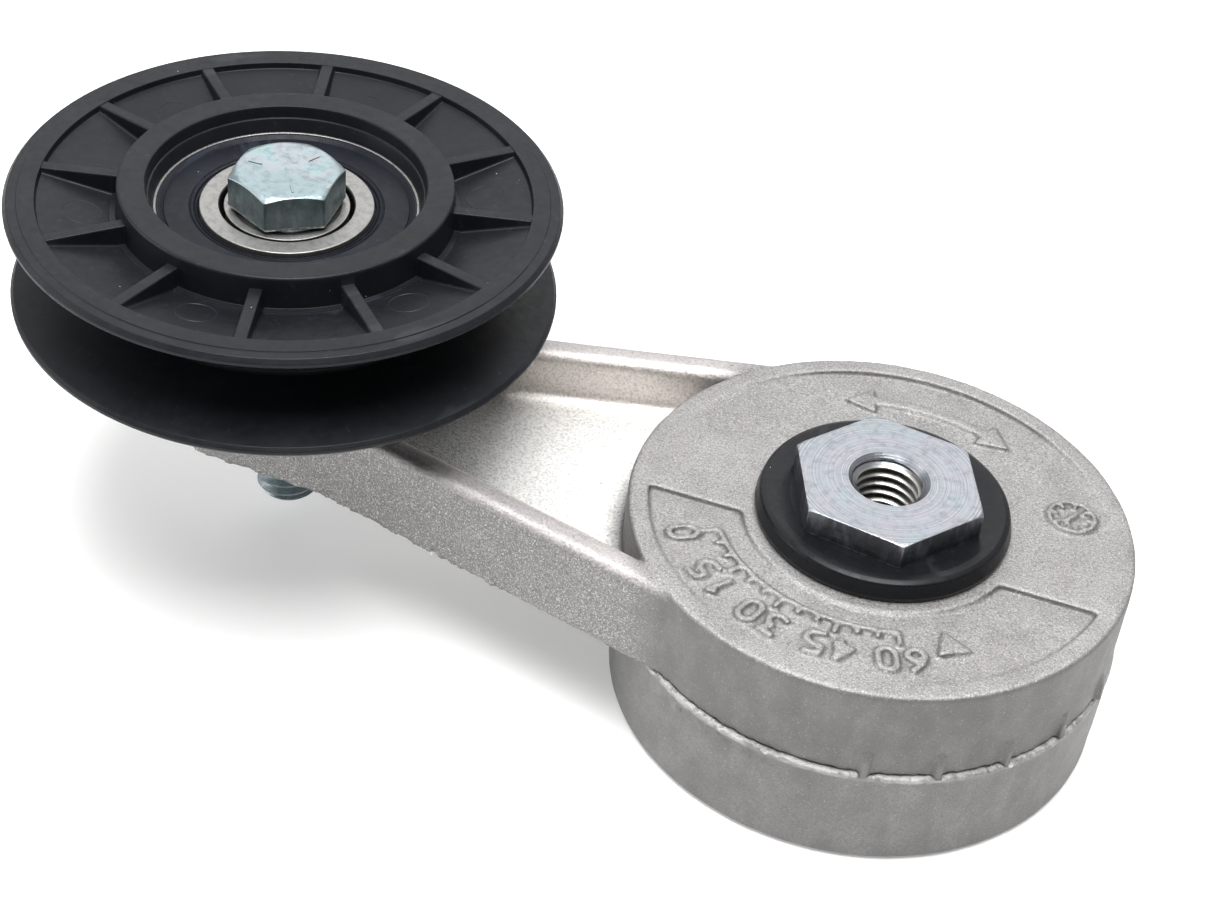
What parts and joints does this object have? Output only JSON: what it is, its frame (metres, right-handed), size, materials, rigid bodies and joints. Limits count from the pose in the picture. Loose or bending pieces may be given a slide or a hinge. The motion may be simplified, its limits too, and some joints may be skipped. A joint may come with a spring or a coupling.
{
  "type": "belt tensioner idler",
  "caption": "Sprung rotary belt tensioner: cast base and channel arm on a threaded hex hub, carrying a ribbed V-groove idler pulley on a sealed ball bearing.",
  "frame": {"origin": "centre of the mounting face of the base, on the axis of the hub", "axes": "+Z out of the mounting face, up through the hexagon of the hub; -X from the hub towards the pulley at rest"},
  "size_m": [0.1623, 0.0762, 0.061],
  "materials": {
    "cast_base": "die-cast, sandy as-cast skin",
    "cast_arm": "die-cast, sandy as-cast skin",
    "zinc_hub": "turned, clear zinc plated",
    "zinc_bolt": "cold headed, clear zinc plated",
    "spring_steel": "oil tempered, phosphated",
    "black_nylon": "satin moulded",
    "bushing_polymer": "natural acetal",
    "pulley_nylon": "moulded, satin with smooth groove",
    "bearing_steel": "ground",
    "seal_rubber": "satin moulded",
    "cage_steel": "pressed strip",
    "bushing_steel": "turned, plated"
  },
  "bodies": {
    "base": {"base": "cast_base", "hub_shaft": "zinc_hub", "hub_retaining_ring": "spring_steel", "thrust_washer": "black_nylon", "lower_thrust_washer": "black_nylon", "torsion_spring": "spring_steel"},
    "arm": {"arm": "cast_arm", "lower_pivot_bushing": "bushing_polymer", "upper_pivot_bushing": "bushing_polymer", "friction_ring": "bushing_polymer", "idler_bushing": "bushing_steel", "idler_bolt": "zinc_bolt", "bearing_inner_ring": "bearing_steel"},
    "pulley": {"pulley": "pulley_nylon", "bearing_outer_ring": "bearing_steel", "bearing_seal_upper": "seal_rubber", "bearing_seal_lower": "seal_rubber"},
    "cage": {"bearing_balls": "bearing_steel", "bearing_cage_upper": "cage_steel", "bearing_cage_lower": "cage_steel", "bearing_cage_rivets": "cage_steel"}
  },
  "joints": [
    {"name": "arm_swing", "type": "hinge", "parent": "base", "child": "arm", "pos_m": [0, 0, 0.0167], "axis": [0, 0, 1], "range_deg": [0, 75], "stiffness_Nm_per_rad": 13.6, "springref_deg": -25.78, "deforming": ["torsion_spring"]},
    {"name": "pulley_spin", "type": "hinge", "parent": "arm", "child": "pulley", "pos_m": [-0.0889, 0, 0.0495], "axis": [0, 0, 1], "continuous": true},
    {"name": "cage_spin", "type": "hinge", "parent": "arm", "child": "cage", "pos_m": [-0.0889, 0, 0.0495], "axis": [0, 0, 1], "continuous": true}
  ],
  "couplings": [
    {"joint": "cage_spin", "follows": "pulley_spin", "ratio": 0.618}
  ]
}
